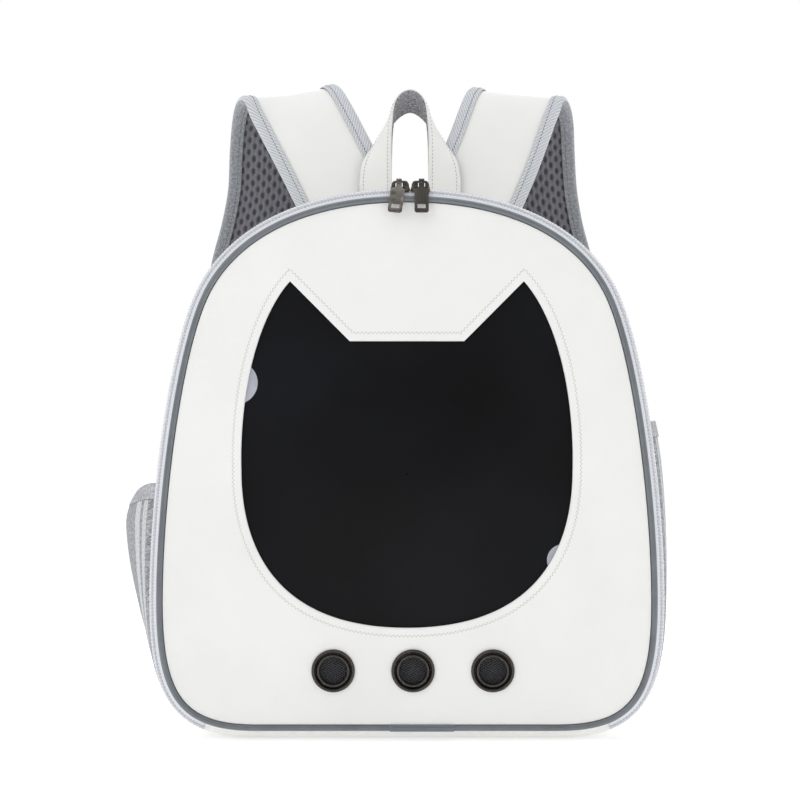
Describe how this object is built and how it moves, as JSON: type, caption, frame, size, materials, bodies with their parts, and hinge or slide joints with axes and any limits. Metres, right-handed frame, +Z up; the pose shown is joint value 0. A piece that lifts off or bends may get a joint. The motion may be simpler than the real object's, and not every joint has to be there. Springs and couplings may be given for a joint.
{
  "type": "pet carrier backpack",
  "caption": "Hard-sided pet carrier backpack, domed white front with a cat-head window, zip round the front, two padded straps, carry handle and side pockets.",
  "frame": {"origin": "centre of the flat base's underside, on the surface the bag stands on", "axes": "+Z up; the front panel with the window faces -Y and the back panel +Y; +X is to the right of someone who looks at the front panel"},
  "size_m": [0.4181, 0.35, 0.5219],
  "materials": {
    "white_leather": "smooth white coated leather with a fine grain",
    "dark_film": "glossy near-black film",
    "clear_tab": "pale translucent film",
    "grey_piping": "glossy grey piping",
    "zip_tape": "silver-grey woven tape",
    "zip_coil": "silver-grey nylon coil",
    "back_mesh": "dark grey air mesh",
    "gunmetal": "polished gunmetal plating",
    "black_mesh": "black woven mesh",
    "melange_webbing": "dark melange grey webbing",
    "strap_mesh": "dark grey hexagon air mesh",
    "silver_binding": "silver-grey twill binding",
    "grey_plastic": "moulded grey plastic",
    "pocket_mesh": "melange grey mesh",
    "elastic_band": "ribbed grey elastic"
  },
  "bodies": {
    "carrier": {"front_panel": "white_leather", "window": "dark_film", "film_tab_upper": "clear_tab", "film_tab_lower": "clear_tab", "front_piping": "grey_piping", "piping_sleeve": "grey_piping", "back_piping": "grey_piping", "zip_tape_front": "zip_tape", "zip_chain": "zip_coil", "zip_tape_rear": "zip_tape", "side_gusset": "white_leather", "base_panel": "white_leather", "back_panel": "back_mesh", "handle_cover": "white_leather", "handle_webbing": "melange_webbing", "eyelet_left": "gunmetal", "eyelet_mesh_left": "black_mesh", "eyelet_middle": "gunmetal", "eyelet_mesh_middle": "black_mesh", "eyelet_right": "gunmetal", "eyelet_mesh_right": "black_mesh", "zip_slider_left": "gunmetal", "strap_face_left": "white_leather", "strap_mesh_left": "strap_mesh", "strap_binding_inner_left": "silver_binding", "strap_binding_outer_left": "silver_binding", "strap_end_tab_left": "melange_webbing", "strap_adjuster_left": "grey_plastic", "strap_webbing_left": "melange_webbing", "pocket_left": "pocket_mesh", "pocket_band_left": "elastic_band", "zip_slider_right": "gunmetal", "strap_face_right": "white_leather", "strap_mesh_right": "strap_mesh", "strap_binding_inner_right": "silver_binding", "strap_binding_outer_right": "silver_binding", "strap_end_tab_right": "melange_webbing", "strap_adjuster_right": "grey_plastic", "strap_webbing_right": "melange_webbing", "pocket_right": "pocket_mesh", "pocket_band_right": "elastic_band"},
    "pull_left": {"zip_pull_left": "gunmetal"},
    "pull_right": {"zip_pull_right": "gunmetal"}
  },
  "joints": [
    {"name": "pull_left_swing", "type": "hinge", "parent": "carrier", "child": "pull_left", "pos_m": [-0.0059, -0.11177, 0.41603], "axis": [-1, 0, 0], "range_deg": [0, 240]},
    {"name": "pull_right_swing", "type": "hinge", "parent": "carrier", "child": "pull_right", "pos_m": [0.0109, -0.11177, 0.41603], "axis": [-1, 0, 0], "range_deg": [0, 240]}
  ]
}
